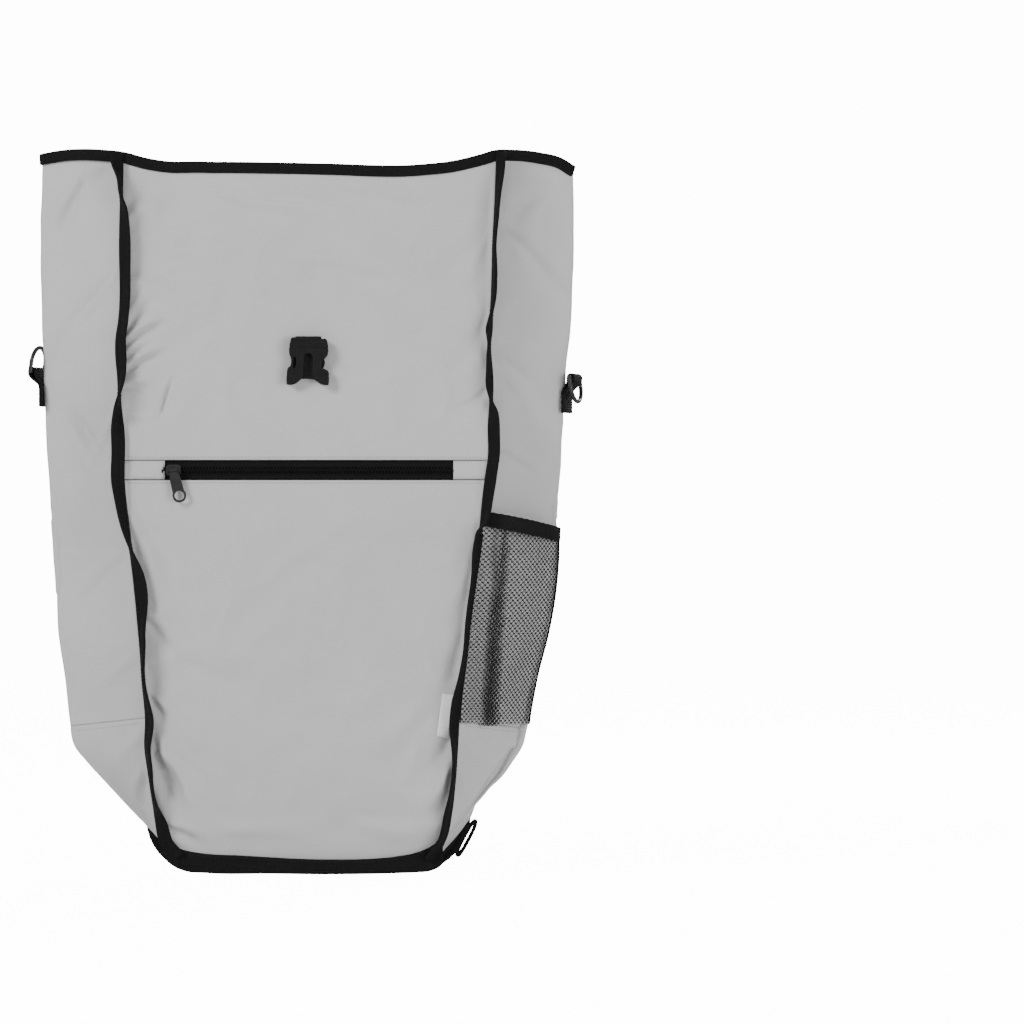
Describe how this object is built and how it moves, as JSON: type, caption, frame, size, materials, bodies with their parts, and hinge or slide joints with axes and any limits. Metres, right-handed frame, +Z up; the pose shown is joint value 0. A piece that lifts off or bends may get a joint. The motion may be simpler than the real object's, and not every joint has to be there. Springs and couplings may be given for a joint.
{
  "type": "pannier bag",
  "caption": "Soft roll-top bicycle pannier with a zipped front pocket, a mesh side pocket, hidden shoulder straps under a rear cover, and sprung rack hooks.",
  "frame": {"origin": "on the axis of the rack tube that the two top hooks hang on, midway between the hooks", "axes": "+Z up along the bag, +Y from the front panel towards the bicycle, +X to the right as seen from the front"},
  "size_m": [0.5214, 0.1508, 0.6692],
  "materials": {
    "grey_cloth": "light grey coated polyester, fine plain weave, matte",
    "black_tape": "black grosgrain binding tape",
    "black_cloth": "black coated polyester",
    "lining": "dark coated inner face",
    "board": "black polyethylene sheet",
    "strap_pad": "black padded polyester",
    "zip_tape": "black woven zip tape",
    "zip_coil": "black nylon coil",
    "zip_metal": "black enamelled die-cast metal, satin",
    "mesh": "black open diamond mesh",
    "elastic": "black elastic binding",
    "label": "plain white woven satin",
    "webbing": "black polyester webbing",
    "black_metal": "black enamelled wire, satin",
    "buckle_plastic": "black acetal, satin moulded",
    "hook_plastic": "black glass-filled nylon, fine texture",
    "steel": "zinc-plated steel"
  },
  "bodies": {
    "bag": {"front_panel_lower": "grey_cloth", "front_panel_upper": "grey_cloth", "zip_end_tabs": "grey_cloth", "gusset_left": "grey_cloth", "gusset_right": "grey_cloth", "bottom_gusset": "grey_cloth", "rear_upper_panel": "grey_cloth", "strap_cover": "grey_cloth", "cover_pocket": "grey_cloth", "seam_binding_left": "black_tape", "seam_binding_right": "black_tape", "seam_binding_bottom": "black_tape", "back_panel_binding": "black_tape", "back_panel": "black_cloth", "front_pocket_lining": "lining", "stiffener_board": "board", "shoulder_strap_left": "strap_pad", "shoulder_strap_right": "strap_pad", "zip_tape": "zip_tape", "zip_chain": "zip_coil", "mesh_pocket": "mesh", "mesh_pocket_elastic": "elastic", "side_label": "label", "ring_loop_left": "webbing", "ring_loop_right": "webbing", "lower_strap_loops": "webbing", "socket_webbing": "webbing", "closure_strap": "webbing", "hook_rail": "hook_plastic", "rail_end_caps": "hook_plastic", "hook_bolts": "steel", "bolt_sleeves": "steel", "bolt_nuts": "steel", "lower_hook_base": "hook_plastic", "lower_hook_screw": "steel"},
    "roll_top": {"roll_top_front": "grey_cloth", "roll_top_rear": "grey_cloth", "roll_top_gusset_left": "grey_cloth", "roll_top_gusset_right": "grey_cloth", "roll_top_bindings": "black_tape", "mouth_binding": "black_tape", "mouth_stiffener": "board"},
    "slider": {"zip_slider": "zip_metal"},
    "pull": {"zip_pull": "zip_metal"},
    "socket": {"buckle_socket": "buckle_plastic"},
    "strap_end": {"closure_strap_end": "webbing", "buckle_plug": "buckle_plastic"},
    "ring_left": {"d_ring_left": "black_metal"},
    "ring_right": {"d_ring_right": "black_metal"},
    "top_hook_left": {"hook_left": "hook_plastic", "latch_pin_left": "steel", "hook_screw_left": "steel", "latch_spring_left": "steel"},
    "hook_latch_left": {"latch_left": "hook_plastic"},
    "top_hook_right": {"hook_right": "hook_plastic", "latch_pin_right": "steel", "hook_screw_right": "steel", "latch_spring_right": "steel"},
    "hook_latch_right": {"latch_right": "hook_plastic"},
    "lower_hook": {"lower_hook_arm": "hook_plastic"}
  },
  "joints": [
    {"name": "roll_top_fold", "type": "hinge", "parent": "bag", "child": "roll_top", "pos_m": [0, -0.1156, 0.16], "axis": [1, 0, 0], "range_deg": [0, 90]},
    {"name": "zip_slide", "type": "slide", "parent": "bag", "child": "slider", "axis": [1, 0, 0], "range_m": [0, 0.248]},
    {"name": "zip_pull_swing", "type": "hinge", "parent": "slider", "child": "pull", "pos_m": [-0.123, -0.119, -0.004], "axis": [-1, 0, 0], "range_deg": [0, 150]},
    {"name": "socket_flip", "type": "hinge", "parent": "bag", "child": "socket", "pos_m": [0, -0.1166, 0.118], "axis": [-1, 0, 0], "range_deg": [0, 165]},
    {"name": "closure_strap_swing", "type": "hinge", "parent": "bag", "child": "strap_end", "pos_m": [0, -0.03332, 0.143], "axis": [1, 0, 0], "range_deg": [0, 150]},
    {"name": "d_ring_left_swing", "type": "hinge", "parent": "bag", "child": "ring_left", "pos_m": [-0.2545, -0.0706, 0.089], "axis": [-0.342, -0.9397, 0], "range_deg": [0, 165]},
    {"name": "d_ring_right_swing", "type": "hinge", "parent": "bag", "child": "ring_right", "pos_m": [0.2505, -0.0706, 0.083], "axis": [-0.342, -0.9397, 0], "range_deg": [0, 160]},
    {"name": "hook_left_slide", "type": "slide", "parent": "bag", "child": "top_hook_left", "axis": [1, 0, 0], "range_m": [-0.038, 0.06]},
    {"name": "hook_right_slide", "type": "slide", "parent": "bag", "child": "top_hook_right", "axis": [1, 0, 0], "range_m": [-0.06, 0.038]},
    {"name": "latch_left_swing", "type": "hinge", "parent": "top_hook_left", "child": "hook_latch_left", "pos_m": [-0.085, 0.0164, -0.011], "axis": [1, 0, 0], "range_deg": [0, 80], "stiffness_Nm_per_rad": 0.01, "springref_deg": -34.38},
    {"name": "latch_right_swing", "type": "hinge", "parent": "top_hook_right", "child": "hook_latch_right", "pos_m": [0.085, 0.0164, -0.011], "axis": [1, 0, 0], "range_deg": [0, 80], "stiffness_Nm_per_rad": 0.01, "springref_deg": -34.38},
    {"name": "lower_hook_swivel", "type": "hinge", "parent": "bag", "child": "lower_hook", "pos_m": [0, -0.0126, -0.327], "axis": [0, 1, 0], "range_deg": [-100, 100]}
  ]
}
